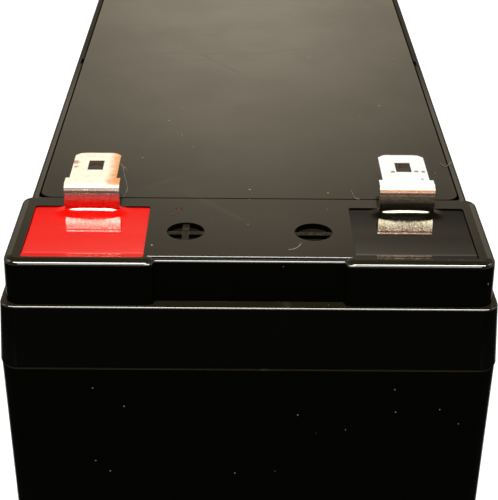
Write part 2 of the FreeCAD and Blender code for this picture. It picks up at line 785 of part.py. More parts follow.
def build_post_ring(name, sign):
    """Rubber ring squeezed between post and lid."""
    ring = place(new_body(f"{name}_post_ring"), f"{sign} * {TERMINAL_X}", TERMINAL_Y)
    profile = new_sketch(ring, "XZ_Plane")
    rectangle(profile, ("post_stem_radius", DECK_UNDERSIDE),
              ("ring_radius", f"{DECK_UNDERSIDE} + ring_height"), ("ring_corner_radius",) * 4)
    revolve(profile)
    finish(ring, f"{name}_post_ring")


def build_seal(name, sign, tab, post):
    """Resin poured into a terminal well, drawn up against the front of the riser."""
    fill = well_slab(f"{name}_fill", sign, LEDGE, SEAL_TOP)
    swell = document.addObject("Part::Ellipsoid", f"{name}_swell")
    bind(swell, "Radius1", "meniscus_height")
    bind(swell, "Radius2", "tab_root_width / 2 + meniscus_reach")
    bind(swell, "Radius3", "tab_thickness / 2 + meniscus_depth")
    place(swell, f"{sign} * {TERMINAL_X}", f"{RISER_BACK} - tab_thickness / 2", SEAL_TOP)
    left, right = span(sign, f"({TERMINAL_X} - tab_root_width)", f"({TERMINAL_X} + tab_root_width)")
    behind = box(
        f"{name}_behind_riser",
        (left, RISER_BACK, f"{SEAL_TOP} - 2 * meniscus_height"),
        (right, f"{RISER_BACK} + tab_root_width", f"{SEAL_TOP} + 2 * meniscus_height"),
    )
    resin = fuse(f"{name}_resin", [fill, cut(f"{name}_front_swell", swell, [behind])])
    finish(cut(f"{name}_seal_shape", resin, [tab, post]), f"{name}_seal")


def build_plates(label, centre, turn, end, plates, thickness, first, link):
    """Plates of one polarity, burned to a cast strap with its link to the next cell.

    The end is -1 or 1 for the side of the lugs in the cell's own frame, first is the
    place of the first plate, and link says what the strap leads to.
    """
    body = place(new_body(label), *centre)
    body.Placement.Rotation = FreeCAD.Rotation(FreeCAD.Vector(0, 0, 1), turn)
    half_stack = f"({STACK_WIDTH} / 2)"
    strap = new_sketch(body, "XY_Plane", STRAP_BOTTOM)
    middle = f"{end} * {STRAP_Y}"
    reach = f"{CELL_WIDTH} / 2" if link.startswith("column") else half_stack
    rectangle(strap, (f"-{half_stack}", f"{middle} - strap_width / 2"),
              (reach, f"{middle} + strap_width / 2"), ("0",) * 4)
    extrude("Pad", strap, "strap_height")
    inner = f"{end} * ({PLATE_LENGTH} / 2 - lug_inset - lug_width)"
    outer = f"{end} * ({PLATE_LENGTH} / 2 - lug_inset)"
    plate = new_sketch(body, "YZ_Plane", f"-{half_stack} + {first}")
    outline(plate, [
        (f"{end} * {PLATE_LENGTH} / 2", PLATE_BOTTOM, "0"),
        (f"{end} * {PLATE_LENGTH} / 2", PLATE_TOP, "0"),
        (outer, PLATE_TOP, "0"),
        (outer, f"{PLATE_TOP} + lug_rise", "0"),
        (inner, f"{PLATE_TOP} + lug_rise", "0"),
        (inner, PLATE_TOP, "0"),
        (f"-{end} * {PLATE_LENGTH} / 2", PLATE_TOP, "0"),
        (f"-{end} * {PLATE_LENGTH} / 2", PLATE_BOTTOM, "0"),
    ])
    pad = extrude("Pad", plate, thickness)
    stack = body.newObject("PartDesign::LinearPattern", f"{body.Name}_stack")
    stack.Originals = [pad]
    stack.Direction = (strap, ["H_Axis"])
    bind(stack, "Length", f"{plates - 1} * {PLATE_PERIOD}")
    stack.Occurrences = plates
    body.Tip = stack
    if link != "post":
        add_link(body, end, link)
    finish(body, label)


def add_link(body, end, link):
    """Upright at the partition, with the weld through it on the negative side."""
    upright = new_sketch(body, "XY_Plane", STRAP_BOTTOM)
    if link.startswith("row"):
        wall = f"{end} * {CELL_LENGTH} / 2"
        near = f"{end} * ({CELL_LENGTH} / 2 - upright_thickness)"
        strap_edge = f"{end} * ({STRAP_Y} + strap_width / 2 - upright_thickness)"
        low, high = sorted((wall, near), key=value)
        rectangle(upright, ("-upright_width / 2", low), ("upright_width / 2", high), ("0",) * 4)
        extrude("Pad", upright, f"{UPRIGHT_TOP} - {STRAP_BOTTOM}")
        bridge = new_sketch(body, "XY_Plane", STRAP_BOTTOM)
        low, high = sorted((wall, strap_edge), key=value)
        rectangle(bridge, ("-upright_width / 2", low), ("upright_width / 2", high), ("0",) * 4)
        extrude("Pad", bridge, "strap_height")
        plane, start, x = "XZ_Plane", f"-({wall})", "0"
    else:
        wall = f"({CELL_WIDTH} / 2)"
        low = f"{end} * {STRAP_Y} - upright_width / 2"
        rectangle(upright, (f"{wall} - upright_thickness", low), (wall, f"{low} + upright_width"), ("0",) * 4)
        extrude("Pad", upright, f"{UPRIGHT_TOP} - {STRAP_BOTTOM}")
        plane, start, x = "YZ_Plane", wall, f"{end} * {STRAP_Y}"
    if link.endswith("weld"):
        weld = new_sketch(body, plane, start)
        circle(weld, x, WELD_HEIGHT, "weld_radius")
        extrude("Pad", weld, "partition_thickness", down=plane == "XZ_Plane")


def build_cells():
    """Plates and separators of all six cells."""
    last = COLUMNS * ROWS
    for number, x, y, turn in cell_centres():
        centre = (x, y)
        if number == 1:
            positive_link = "post"
        else:
            positive_link = "column" if number == ROWS + 1 else "row"
        if number == last:
            negative_link = "post"
        else:
            negative_link = "column weld" if number == ROWS else "row weld"
        build_plates(f"cell_{number}_positive_plates", centre, turn, -1, POSITIVE_PLATES,
                     "positive_thickness", f"negative_thickness + {SEPARATOR_THICKNESS}", positive_link)
        build_plates(f"cell_{number}_negative_plates", centre, turn, 1, NEGATIVE_PLATES,
                     "negative_thickness", "0", negative_link)
        build_separators(number, x, y)


def build_separators(number, x, y):
    """Glass mats between the plates of one cell."""
    mats = []
    for k in range(SEPARATORS):
        period, after_positive = divmod(k, 2)
        start = f"{period} * {PLATE_PERIOD} + negative_thickness"
        if after_positive:
            start += f" + {SEPARATOR_THICKNESS} + positive_thickness"
        left = f"{x} - {STACK_WIDTH} / 2 + {start}"
        mats.append(box(
            f"cell_{number}_mat_{k + 1}",
            (left, f"{y} - {SEPARATOR_LENGTH} / 2", "floor_thickness"),
            (f"{left} + {SEPARATOR_THICKNESS}", f"{y} + {SEPARATOR_LENGTH} / 2", SEPARATOR_TOP),
        ))
    group = document.addObject("Part::Compound", f"cell_{number}_mats")
    group.Links = mats
    finish(group, f"cell_{number}_separators")


build_container()
build_lid()
build_vent_cover()
build_valve_caps()
for terminal, side_sign in sides():
    terminal_tab = build_tab(terminal, side_sign)
    terminal_post = build_post(terminal, side_sign)
    build_post_ring(terminal, side_sign)
    build_seal(terminal, side_sign, terminal_tab, terminal_post)
build_cells()
document.recompute()

failed = [item.Label for item in document.Objects if {"Invalid", "Error"} & set(item.State)]
failed += [node.Label for node in nodes if node.Shape.isNull() or not node.Shape.isValid()]
if failed:
    raise RuntimeError(f"these objects failed: {', '.join(failed)}")

os.makedirs(NODE_FOLDER, exist_ok=True)
for node in nodes:
    node.Shape.exportStep(os.path.join(NODE_FOLDER, f"{node.Label}.step"))
    print(f"{node.Label}: {len(node.Shape.Solids)} solid(s), {node.Shape.Volume / 1000:.3f} cm3")
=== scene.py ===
"""Dresses a sealed lead acid battery: camera, studio, finishes and the pieces that only show.

Fields are in millimetres and degrees where no docstring says otherwise.
"""

from __future__ import annotations

import logging
import math
from collections.abc import Mapping, Sequence
from dataclasses import dataclass, field
from enum import Enum

import bpy
import numpy as np
from mathutils import Matrix, Vector


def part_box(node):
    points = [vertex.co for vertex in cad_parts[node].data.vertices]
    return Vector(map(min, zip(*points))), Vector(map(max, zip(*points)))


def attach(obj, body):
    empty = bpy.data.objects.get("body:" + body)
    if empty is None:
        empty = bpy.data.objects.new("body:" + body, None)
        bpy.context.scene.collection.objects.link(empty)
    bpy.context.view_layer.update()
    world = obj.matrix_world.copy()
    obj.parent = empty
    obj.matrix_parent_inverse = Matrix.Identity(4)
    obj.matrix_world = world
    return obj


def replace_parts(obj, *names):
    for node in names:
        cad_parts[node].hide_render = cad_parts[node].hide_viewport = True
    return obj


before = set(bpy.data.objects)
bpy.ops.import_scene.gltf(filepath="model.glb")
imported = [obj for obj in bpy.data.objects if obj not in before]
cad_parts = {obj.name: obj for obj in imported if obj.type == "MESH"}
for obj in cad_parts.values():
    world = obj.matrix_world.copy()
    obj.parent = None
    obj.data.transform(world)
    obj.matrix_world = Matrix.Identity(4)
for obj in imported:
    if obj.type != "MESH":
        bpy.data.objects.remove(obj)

LOG = logging.getLogger("battery")
MM = 0.001
BODY = "root"
PHOTO_SIZE = (498, 500)

# Numbers of sockets that share their name with others
MIX_SHARE, MIX_FIRST, MIX_SECOND, MIX_COLOUR = 0, 6, 7, 2
RANDOM_FLOAT = 1

# Scratches: how they stretch, and their width as a part of their distance
SCRATCH_STRETCH = (9.0, 1.0, 9.0)
SCRATCH_WIDTH = 0.012

# Painted dots: least size and growth, and where their edge and their strength fade out
DOT_LEAST, DOT_GROWTH = 0.7, 0.7
DOT_EDGE, DOT_FADE = 0.6, 0.55

Colour = tuple[float, float, float]
Place = tuple[float, float, float]
Pixel = tuple[float, float]

BLACK: Colour = (0.0, 0.0, 0.0)
WHITE: Colour = (1.0, 1.0, 1.0)


def dimmed(colour: Colour, share: float) -> Colour:
    """Give a darker version of a colour."""
    return tuple(share * part for part in colour)


@dataclass(frozen=True)
class Wire:
    """One output of a node, with the arithmetic that adds Math nodes behind it."""

    tree: Tree
    socket: bpy.types.NodeSocket

    def __add__(self, other: Scalar) -> Wire:
        """Sum."""
        return self.tree.math("ADD", self, other)

    def __radd__(self, other: Scalar) -> Wire:
        """Sum, with the number first."""
        return self.tree.math("ADD", other, self)

    def __sub__(self, other: Scalar) -> Wire:
        """Difference."""
        return self.tree.math("SUBTRACT", self, other)

    def __rsub__(self, other: Scalar) -> Wire:
        """Difference, with the number first."""
        return self.tree.math("SUBTRACT", other, self)

    def __mul__(self, other: Scalar) -> Wire:
        """Product."""
        return self.tree.math("MULTIPLY", self, other)

    def __rmul__(self, other: Scalar) -> Wire:
        """Product, with the number first."""
        return self.tree.math("MULTIPLY", other, self)

    def __truediv__(self, other: Scalar) -> Wire:
        """Quotient."""
        return self.tree.math("DIVIDE", self, other)

    def __pow__(self, other: Scalar) -> Wire:
        """Power."""
        return self.tree.math("POWER", self, other)

    def __gt__(self, other: Scalar) -> Wire:
        """One where the value is above the other."""
        return self.tree.math("GREATER_THAN", self, other)

    def __abs__(self) -> Wire:
        """Size without its sign."""
        return self.tree.math("ABSOLUTE", self)

    def smallest(self, other: Scalar) -> Wire:
        """Smaller of two values."""
        return self.tree.math("MINIMUM", self, other)

    def largest(self, other: Scalar) -> Wire:
        """Larger of two values."""
        return self.tree.math("MAXIMUM", self, other)

    def ramp(self, start: float, end: float, low: float = 0.0, high: float = 1.0) -> Wire:
        """Ease the value from low at the start to high at the end.

        Args:
            start: Value at which the ramp begins.
            end: Value at which it ends, below the start for a falling ramp.
            low: Result at the start.
            high: Result at the end.

        Returns:
            The eased value.
        """
        if end < start:
            start, end, low, high = end, start, high, low
        settings = {"interpolation_type": "SMOOTHSTEP"}
        node = self.tree.node("ShaderNodeMapRange", settings, {0: self, 1: start, 2: end, 3: low, 4: high})
        return Wire(self.tree, node.outputs[0])


Scalar = Wire | float | int


def away(x: Wire, y: Wire, across: float, along: float) -> Wire:
    """Measure how far X and Y in metres are from an upright line.

    Args:
        x: Place across.
        y: Place along.
        across: Line's place across in millimetres.
        along: Line's place along in millimetres.

    Returns:
        The distance in metres.
    """
    return ((x - across * MM) ** 2.0 + (y - along * MM) ** 2.0) ** 0.5


class Tree:
    """Builds one node tree of a material, a world or a modifier."""

    def __init__(self, tree: bpy.types.NodeTree) -> None:
        """Take the tree over and empty it."""
        self.tree = tree
        self.tree.nodes.clear()

    def node(
        self,
        kind: str,
        settings: Mapping[str, object] | None = None,
        inputs: Mapping[object, object] | None = None,
    ) -> bpy.types.Node:
        """Add a node.

        Args:
            kind: Blender's name of the node's type.
            settings: Its properties; stops holds the places and colours of a ramp.
            inputs: Values or wires for its sockets, by name or number.

        Returns:
            The new node.
        """
        node = self.tree.nodes.new(kind)
        for name, value in (settings or {}).items():
            if name == "stops":
                elements = node.color_ramp.elements
                while len(elements) < len(value):
                    elements.new(0.5)
                for element, (place, colour) in zip(elements, value):
                    element.position = place
                    element.color = (*colour, 1.0)
            else:
                setattr(node, name, value)
        for key, value in (inputs or {}).items():
            socket = node.inputs[key]
            if isinstance(value, Wire):
                self.tree.links.new(value.socket, socket)
            elif socket.type == "RGBA" and len(value) == 3:
                socket.default_value = (*value, 1.0)
            else:
                socket.default_value = value
        return node

    def out(self, node: bpy.types.Node, output: str | int = 0) -> Wire:
        """Wrap one output of a node."""
        return Wire(self, node.outputs[output])

    def math(self, operation: str, *values: Scalar) -> Wire:
        """Add a Math node on values."""
        return self.out(self.node("ShaderNodeMath", {"operation": operation}, dict(enumerate(values))))

    def mix(self, first: Wire | Colour, second: Wire | Colour, share: Scalar) -> Wire:
        """Blend two colours.

        Args:
            first: Colour where the share is 0.
            second: Colour where the share is 1.
            share: How much of the second shows.

        Returns:
            The blended colour.
        """
        inputs = {MIX_SHARE: share, MIX_FIRST: first, MIX_SECOND: second}
        return self.out(self.node("ShaderNodeMix", {"data_type": "RGBA"}, inputs), MIX_COLOUR)

    def split(self, vector: Wire) -> tuple[Wire, Wire, Wire]:
        """Take a vector apart into X, Y and Z."""
        parts = self.node("ShaderNodeSeparateXYZ", inputs={"Vector": vector})
        return self.out(parts, "X"), self.out(parts, "Y"), self.out(parts, "Z")

    def place(self) -> tuple[Wire, Wire, Wire]:
        """Give the point's X, Y and Z in the object's own coordinates, in metres."""
        return self.split(self.out(self.node("ShaderNodeTexCoord"), "Object"))

    def facing(self) -> tuple[Wire, Wire, Wire]:
        """Give the surface's normal as X, Y and Z."""
        return self.split(self.out(self.node("ShaderNodeNewGeometry"), "Normal"))

    def coordinates(self, size: float, stretch: Place, shift: float, turn: Place = (0.0, 0.0, 0.0)) -> Wire:
        """Give object coordinates in which one unit is one feature.

        Args:
            size: Width of a feature in millimetres.
            stretch: How much longer the feature is along each axis.
            shift: Offset that tells two patterns apart.
            turn: Rotation in degrees.

        Returns:
            The coordinates.
        """
        inputs = {
            "Vector": self.out(self.node("ShaderNodeTexCoord"), "Object"),
            "Location": (shift, 1.7 * shift, 2.3 * shift),
            "Rotation": tuple(math.radians(angle) for angle in turn),
            "Scale": tuple(1.0 / (size * MM * longer) for longer in stretch),
        }
        return self.out(self.node("ShaderNodeMapping", {"vector_type": "POINT"}, inputs))

    def noise(
        self,
        size: float,
        detail: float = 3.0,
        rough: float = 0.55,
        stretch: Place = (1.0, 1.0, 1.0),
        shift: float = 0.0,
    ) -> Wire:
        """Add a noise pattern with values round 0.5.

        Args:
            size: Width of its largest features in millimetres.
            detail: How many finer layers it has.
            rough: How strong the finer layers are.
            stretch: How much longer the features are along each axis.
            shift: Offset that tells two patterns apart.

        Returns:
            The pattern's value.
        """
        vector = self.coordinates(size, stretch, shift)
        inputs = {"Vector": vector, "Scale": 1.0, "Detail": detail, "Roughness": rough}
        return self.out(self.node("ShaderNodeTexNoise", {"noise_dimensions": "3D"}, inputs))

    def cells(
        self,
        size: float,
        feature: str = "F1",
        stretch: Place = (1.0, 1.0, 1.0),
        turn: Place = (0.0, 0.0, 0.0),
        shift: float = 0.0,
    ) -> bpy.types.Node:
        """Add a cell pattern.

        Args:
            size: Width of a cell in millimetres.
            feature: Blender's name of what it measures.
            stretch: How much longer the cells are along each axis.
            turn: Rotation of the pattern in degrees.
            shift: Offset that tells two patterns apart.

        Returns:
            The pattern's node, with its outputs by name.
        """
        vector = self.coordinates(size, stretch, shift, turn)
        return self.node("ShaderNodeTexVoronoi", {"feature": feature}, {"Vector": vector, "Scale": 1.0})

    def specks(self, size: float, share: float, radius: float, shift: float = 0.0) -> Wire:
        """Scatter small soft dots of varied size and strength.

        Args:
            size: Distance between places for a dot, in millimetres.
            share: Part of those places that hold one.
            radius: Middling radius of a dot, as a part of that distance.
            shift: Offset that tells two patterns apart.

        Returns:
            Up to one inside a dot and zero outside.
        """
        cells = self.cells(size, shift=shift)
        chance, girth, _ = self.split(self.out(cells, "Color"))
        reach = self.out(cells, "Distance") / (DOT_LEAST + DOT_GROWTH * girth)
        return reach.ramp(radius, DOT_EDGE * radius) * chance.ramp(share, DOT_FADE * share)

    def scratches(self, size: float, turn: float, share: float, shift: float = 0.0) -> Wire:
        """Draw sparse straight hairlines.

        Args:
            size: Distance between hairlines in millimetres.
            turn: Direction in degrees from X.
            share: Part of the surface that holds them, from 0 to 1.
            shift: Offset that tells two patterns apart.

        Returns:
            One on a hairline and zero elsewhere.
        """
        angles = (0.0, 0.0, turn)
        edge = self.out(self.cells(size, "DISTANCE_TO_EDGE", SCRATCH_STRETCH, angles, shift))
        where = self.noise(4.0 * size, detail=1.0, shift=shift + 5.0)
        return edge.ramp(SCRATCH_WIDTH, 0.0) * where.ramp(1.0 - share, 1.06 - share)

    def bump(self, height: Wire, depth: float, strength: float = 1.0) -> Wire:
        """Turn a height into a bent normal.

        Args:
            height: Height from 0 to 1.
            depth: Real height of 1, in millimetres.
            strength: How much of the bend shows.

        Returns:
            The normal.
        """
        inputs = {"Height": height, "Distance": depth * MM, "Strength": strength}
        return self.out(self.node("ShaderNodeBump", inputs=inputs), "Normal")


@dataclass(frozen=True)
class Finish:
    """A procedural material."""

    name: str

    def surface(self, tree: Tree) -> dict[str, object]:
        """Give the inputs of the surface shader."""
        raise NotImplementedError

    def material(self) -> bpy.types.Material:
        """Make the material, or give the one that was made before.

        Returns:
            The material.
        """
        title = f"{self.name}_finish"
        made = bpy.data.materials.get(title)
        if made is not None:
            return made
        made = bpy.data.materials.new(title)
        made.use_nodes = True
        tree = Tree(made.node_tree)
        shader = tree.node("ShaderNodeBsdfPrincipled", inputs=self.surface(tree))
        tree.node("ShaderNodeOutputMaterial", inputs={"Surface": tree.out(shader)})
        return made

    def dress(self, node: str) -> None:
        """Put the material on a node of the frame.

        Args:
            node: Name of the node.
        """
        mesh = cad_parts[node].data
        mesh.materials.clear()
        mesh.materials.append(self.material())
        LOG.info("%s finished in %s", node, self.name)


@dataclass(frozen=True)
class MouldedPlastic(Finish):
    """Black moulded case plastic, glossy on top, with handling marks and dust, and painted light: up-facing
    faces get a lighter colour than the walls, which get painted shade.
    """

    side_gloss: float = 0.6
    top_gloss: float = 1.0
    gloss_from: float = 0.05
    gloss_whole: float = 0.35
    # Painted light and shade: a lit copy of the plastic's colour for the top faces, a shaded copy for the
    # walls
    painted_light_colour_on_top: Colour = (0.016, 0.0125, 0.0065)
    painted_shade_colour_on_walls: Colour = (0.0009, 0.0009, 0.0004)
    lint: float = 0.06
    haze_colour: Colour = (0.022, 0.019, 0.013)
    scratch_colour: Colour = (0.10, 0.09, 0.07)
    lint_colour: Colour = (0.42, 0.39, 0.31)
    haze_tint: float = 0.25
    haze_dulling: float = 0.1
    scratch_tint: float = 0.22
    scratch_dulling: float = 0.15
    lint_tint: float = 0.5
    lint_tint_on_top: float = 0.35
    dull_discs: tuple[Place, ...] = ()
    disc_edge: float = 0.05
    pock_height: float = 3.0

    def surface(self, tree: Tree) -> dict[str, object]:
        """Give the inputs of the surface shader.

        Args:
            tree: Node tree of the material.

        Returns:
            Values and wires by the socket's name.
        """
        x, y, _ = tree.place()
        across, back, up = tree.facing()
        top = up.ramp(self.gloss_from, self.gloss_whole)
        side = abs(across).largest(back).ramp(0.80, 0.97)
        haze = tree.noise(14.0, detail=4.0).ramp(0.35, 0.7)
        grain = tree.noise(0.35, detail=3.0, shift=3.0)
        lines = tree.scratches(7.0, turn=24.0, share=0.47)
        lines = lines + tree.scratches(9.0, turn=-38.0, share=0.45, shift=4.0)
        lines = (lines + tree.scratches(5.0, turn=80.0, share=0.42, shift=9.0)).smallest(1.0) * top
        lint = tree.specks(2.1, share=self.lint, radius=0.07)
        lint = (lint + tree.specks(5.0, share=2.0 * self.lint, radius=0.035, shift=6.0)).smallest(1.0)
        # Painted light and shade: up-facing faces take the lighter colour, walls the darker one
        body = tree.mix(self.painted_shade_colour_on_walls, self.painted_light_colour_on_top, top)
        body = tree.mix(body, self.haze_colour, haze * top * self.haze_tint)
        body = tree.mix(body, self.scratch_colour, lines * self.scratch_tint)
        body = tree.mix(body, self.lint_colour, lint * (self.lint_tint + self.lint_tint_on_top * top))
        gloss = (top * self.top_gloss).largest(side * self.side_gloss)
        gloss = gloss * (1.0 - self.haze_dulling * haze) * (1.0 - self.scratch_dulling * lines) * (1.0 - lint)
        height = 0.5 * grain + 0.5 * tree.noise(3.0, detail=2.0, shift=8.0) - 0.25 * lines + 0.8 * lint
        pocks = tree.noise(0.6, detail=3.0, rough=0.6, shift=6.0)
        for disc_x, disc_y, radius in self.dull_discs:
            inner, outer = (radius - self.disc_edge) * MM, (radius + self.disc_edge) * MM
            inside = away(x, y, disc_x, disc_y).ramp(outer, inner)
            gloss = gloss * (1.0 - inside * pocks.ramp(0.60, 0.38, 0.35, 0.85))
            height = height + self.pock_height * inside * pocks
        return {
            "Base Color": body,
            "Roughness": 0.60 - 0.30 * top + 0.12 * grain + 0.15 * haze + 0.2 * lint,
            "Specular IOR Level": 0.01,
            "Coat Weight": gloss,
            "Coat Roughness": 0.035,
            "Coat IOR": 1.8,
            "Normal": tree.bump(height, depth=0.012, strength=0.6),
        }


@dataclass(frozen=True)
class CastResin(Finish):
    """Resin poured round a terminal, smooth with trapped specks."""

    colour: Colour = (0.8, 0.01, 0.004)
    fleck: Colour = (0.4, 0.01, 0.01)

    def surface(self, tree: Tree) -> dict[str, object]:
        """Give the inputs of the surface shader.

        Args:
            tree: Node tree of the material.

        Returns:
            Values and wires by the socket's name.
        """
        cloud = tree.noise(2.4, detail=3.0)
        flecks = tree.specks(1.3, share=0.12, radius=0.09, shift=2.0)
        body = tree.mix(self.colour, dimmed(self.colour, 0.86), cloud)
        body = tree.mix(body, self.fleck, 0.7 * flecks)
        height = tree.noise(1.8, detail=2.0, shift=7.0) * 0.7 + 0.5 * flecks
        return {
            "Base Color": body,
            "Roughness": 0.03 + 0.03 * cloud + 0.2 * flecks,
            "IOR": 1.9,
            "Specular IOR Level": 0.5,
            "Normal": tree.bump(height, depth=0.004, strength=0.5),
        }


@dataclass(frozen=True)
class TinnedStrip(Finish):
    """Tinned tab metal: a pale blade, a dark bend of speckles and painted shade, and a mottled riser that
    leans back a little.
    """

    plating: Colour = (0.97, 0.97, 0.94)
    riser: Colour = (0.93, 0.83, 0.62)
    # Dark colour of the bend: partly real speckles, partly painted shade over the bend
    bend_dots_and_shade: Colour = (0.17, 0.07, 0.04)
    blush: Colour = (0.80, 0.30, 0.07)
    blush_edge: float = -18.0
    blush_width: float = 0.0
    blush_wander: float = 1.6
    stain: Colour = (0.20, 0.17, 0.10)
    stains: tuple[Place, ...] = ()
    bend_from: float = 95.0
    bend_whole: float = 96.2
    pit_depth: float = 0.0012
    patch_depth: float = 0.0012
    bend_depth: float = 0.012
    grain_depth: float = 0.0006
    lean: float = 4.0
    patch_shade: float = 0.88
    mottle_shade: float = 0.55
    blush_share: float = 0.9
    bend_dots_and_shade_share: float = 0.92
    stain_raggedness: float = 2.4
    level_dullness: float = 0.95

    def surface(self, tree: Tree) -> dict[str, object]:
        """Give the inputs of the surface shader.

        Args:
            tree: Node tree of the material.

        Returns:
            Values and wires by the socket's name.
        """
        x, y, z = tree.place()
        _, back, up = tree.facing()
        patches = tree.noise(1.3, detail=4.0, rough=0.6)
        pits = tree.noise(0.13, detail=3.0, rough=0.6, shift=4.0)
        grain = tree.noise(0.14, detail=2.0, rough=0.5, stretch=(1.0, 14.0, 14.0), shift=1.0)
        mottle = tree.noise(0.25, detail=3.0, rough=0.6, stretch=(1.3, 1.0, 1.0), shift=9.0)
        level = up.ramp(0.70, 0.95)
        front = (0.0 - back).ramp(0.35, 0.80)
        bend = z.ramp(self.bend_from * MM, self.bend_whole * MM) * up.ramp(0.94, 0.78)
        # Speckles spread densely over the front of the bend: partly real, partly painted shade where the bend
        # would catch the lamp
        bend_dot_and_shade_mask = (pits + 0.35 * up).ramp(0.40, 0.56) * bend * (0.0 - back).ramp(0.1, 0.3)
        colour = tree.mix(self.plating, dimmed(self.plating, self.patch_shade), patches.ramp(0.45, 0.75))
        if self.blush_width:
            start = self.blush_edge - self.blush_width
            wander = self.blush_wander * MM * (patches - 0.5)
            edge = (x + wander).ramp(start * MM, self.blush_edge * MM)
            worn = (edge + patches.ramp(0.58, 0.72) * 0.35).smallest(1.0) * level
            colour = tree.mix(colour, self.blush, worn * self.blush_share)
        for stain_x, stain_y, radius in self.stains:
            ragged = away(x, y, stain_x, stain_y) / (radius * MM) + self.stain_raggedness * pits
            colour = tree.mix(colour, self.stain, ragged.ramp(2.2, 1.5) * level)
        riser = tree.mix(self.riser, dimmed(self.riser, self.mottle_shade), mottle.ramp(0.42, 0.66))
        colour = tree.mix(colour, riser, front)
        colour = tree.mix(colour, self.bend_dots_and_shade, bend_dot_and_shade_mask * self.bend_dots_and_shade_share)
        relief = self.grain_depth * grain + (self.pit_depth + self.bend_depth * bend) * pits
        relief = relief + self.patch_depth * patches * level
        leaning = front * z * -math.tan(math.radians(self.lean)) / MM
        return {
            "Base Color": colour,
            "Metallic": 1.0 - (self.level_dullness * level).largest(0.3 * bend_dot_and_shade_mask),
            "Roughness": 0.04 + 0.04 * patches + 0.31 * level + 0.2 * bend_dot_and_shade_mask,
            "Normal": tree.bump(relief + leaning, depth=1.0),
        }


@dataclass(frozen=True)
class CastLead(Finish):
    """Grey cast lead with a dull oxide skin."""

    bright: Colour = (0.30, 0.31, 0.33)
    dull: Colour = (0.17, 0.17, 0.18)

    def surface(self, tree: Tree) -> dict[str, object]:
        """Give the inputs of the surface shader.

        Args:
            tree: Node tree of the material.

        Returns:
            Values and wires by the socket's name.
        """
        oxide = tree.noise(2.2, detail=4.0)
        grain = tree.noise(0.3, detail=3.0, shift=2.0)
        return {
            "Base Color": tree.mix(self.bright, self.dull, oxide),
            "Metallic": 1.0 - 0.35 * oxide,
            "Roughness": 0.4 + 0.3 * oxide,
            "Normal": tree.bump(grain, depth=0.03, strength=0.5),
        }


@dataclass(frozen=True)
class PlatePaste(Finish):
    """Cured paste pressed into a grid that shows through faintly."""

    colour: Colour = (0.09, 0.035, 0.018)
    grid_colour: Colour = (0.16, 0.16, 0.17)
    bar_pitch: float = 2.6
    rung_pitch: float = 4.0
    bar_width: float = 0.5

    def surface(self, tree: Tree) -> dict[str, object]:
        """Give the inputs of the surface shader.

        Args:
            tree: Node tree of the material.

        Returns:
            Values and wires by the socket's name.
        """
        _, y, z = tree.place()
        crumbs = tree.noise(0.8, detail=5.0, rough=0.7)
        bars = tree.math("PINGPONG", y, self.bar_pitch * MM).ramp(self.bar_width * MM, 0.0)
        rungs = tree.math("PINGPONG", z, self.rung_pitch * MM).ramp(self.bar_width * MM, 0.0)
        grid = bars.largest(rungs)
        colour = tree.mix(self.colour, dimmed(self.colour, 0.6), crumbs)
        return {
            "Base Color": tree.mix(colour, self.grid_colour, grid * 0.3),
            "Roughness": 0.75 + 0.2 * crumbs,
            "Normal": tree.bump(crumbs * 0.7 + grid * 0.4, depth=0.08, strength=0.7),
        }


@dataclass(frozen=True)
class GlassMat(Finish):
    """White mat of fine glass fibres, with painted shade in the hollows between them."""

    painted_hollow_shade: Colour = (0.72, 0.73, 0.70)
    painted_ridge_light: Colour = (0.86, 0.86, 0.83)

    def surface(self, tree: Tree) -> dict[str, object]:
        """Give the inputs of the surface shader.

        Args:
            tree: Node tree of the material.

        Returns:
            Values and wires by the socket's name.
        """
        along = tree.noise(0.15, detail=3.0, stretch=(1.0, 1.0, 18.0))
        across = tree.noise(0.15, detail=3.0, stretch=(1.0, 18.0, 1.0), shift=3.0)
        fibres = along.largest(across)
        return {
            # Painted shade: the colour darkens in the hollows of the same pattern that makes the bump
            "Base Color": tree.mix(self.painted_hollow_shade, self.painted_ridge_light, fibres),
            "Roughness": 0.85 + 0.1 * fibres,
            "Normal": tree.bump(fibres, depth=0.05, strength=0.7),
        }


@dataclass(frozen=True)
class SoftRubber(Finish):
    """Matt black rubber of the valve caps and post rings."""

    fresh: Colour = (0.012, 0.012, 0.012)
    bloomed: Colour = (0.035, 0.034, 0.032)

    def surface(self, tree: Tree) -> dict[str, object]:
        """Give the inputs of the surface shader.

        Args:
            tree: Node tree of the material.

        Returns:
            Values and wires by the socket's name.
        """
        bloom = tree.noise(1.6, detail=4.0)
        grain = tree.noise(0.18, detail=2.0, shift=5.0)
        return {
            "Base Color": tree.mix(self.fresh, self.bloomed, bloom * 0.6),
            "Roughness": 0.6 + 0.2 * bloom,
            "Normal": tree.bump(grain, depth=0.02, strength=0.6),
        }


@dataclass(frozen=True)
class Fluff(Finish):
    """Dust, lint and crumbs."""

    colour: Colour = (0.55, 0.5, 0.4)

    def surface(self, tree: Tree) -> dict[str, object]:
        """Give the inputs of the surface shader.

        Args:
            tree: Node tree of the material.

        Returns:
            Values and wires by the socket's name.
        """
        tone = tree.noise(1.1, detail=2.0)
        return {
            "Base Color": tree.mix(self.colour, dimmed(self.colour, 0.35), tone.ramp(0.3, 0.7)),
            "Roughness": 0.75 + 0.2 * tone,
            "Specular IOR Level": 0.2,
            "Normal": tree.bump(tree.noise(0.05, detail=2.0), depth=0.01, strength=0.5),
        }


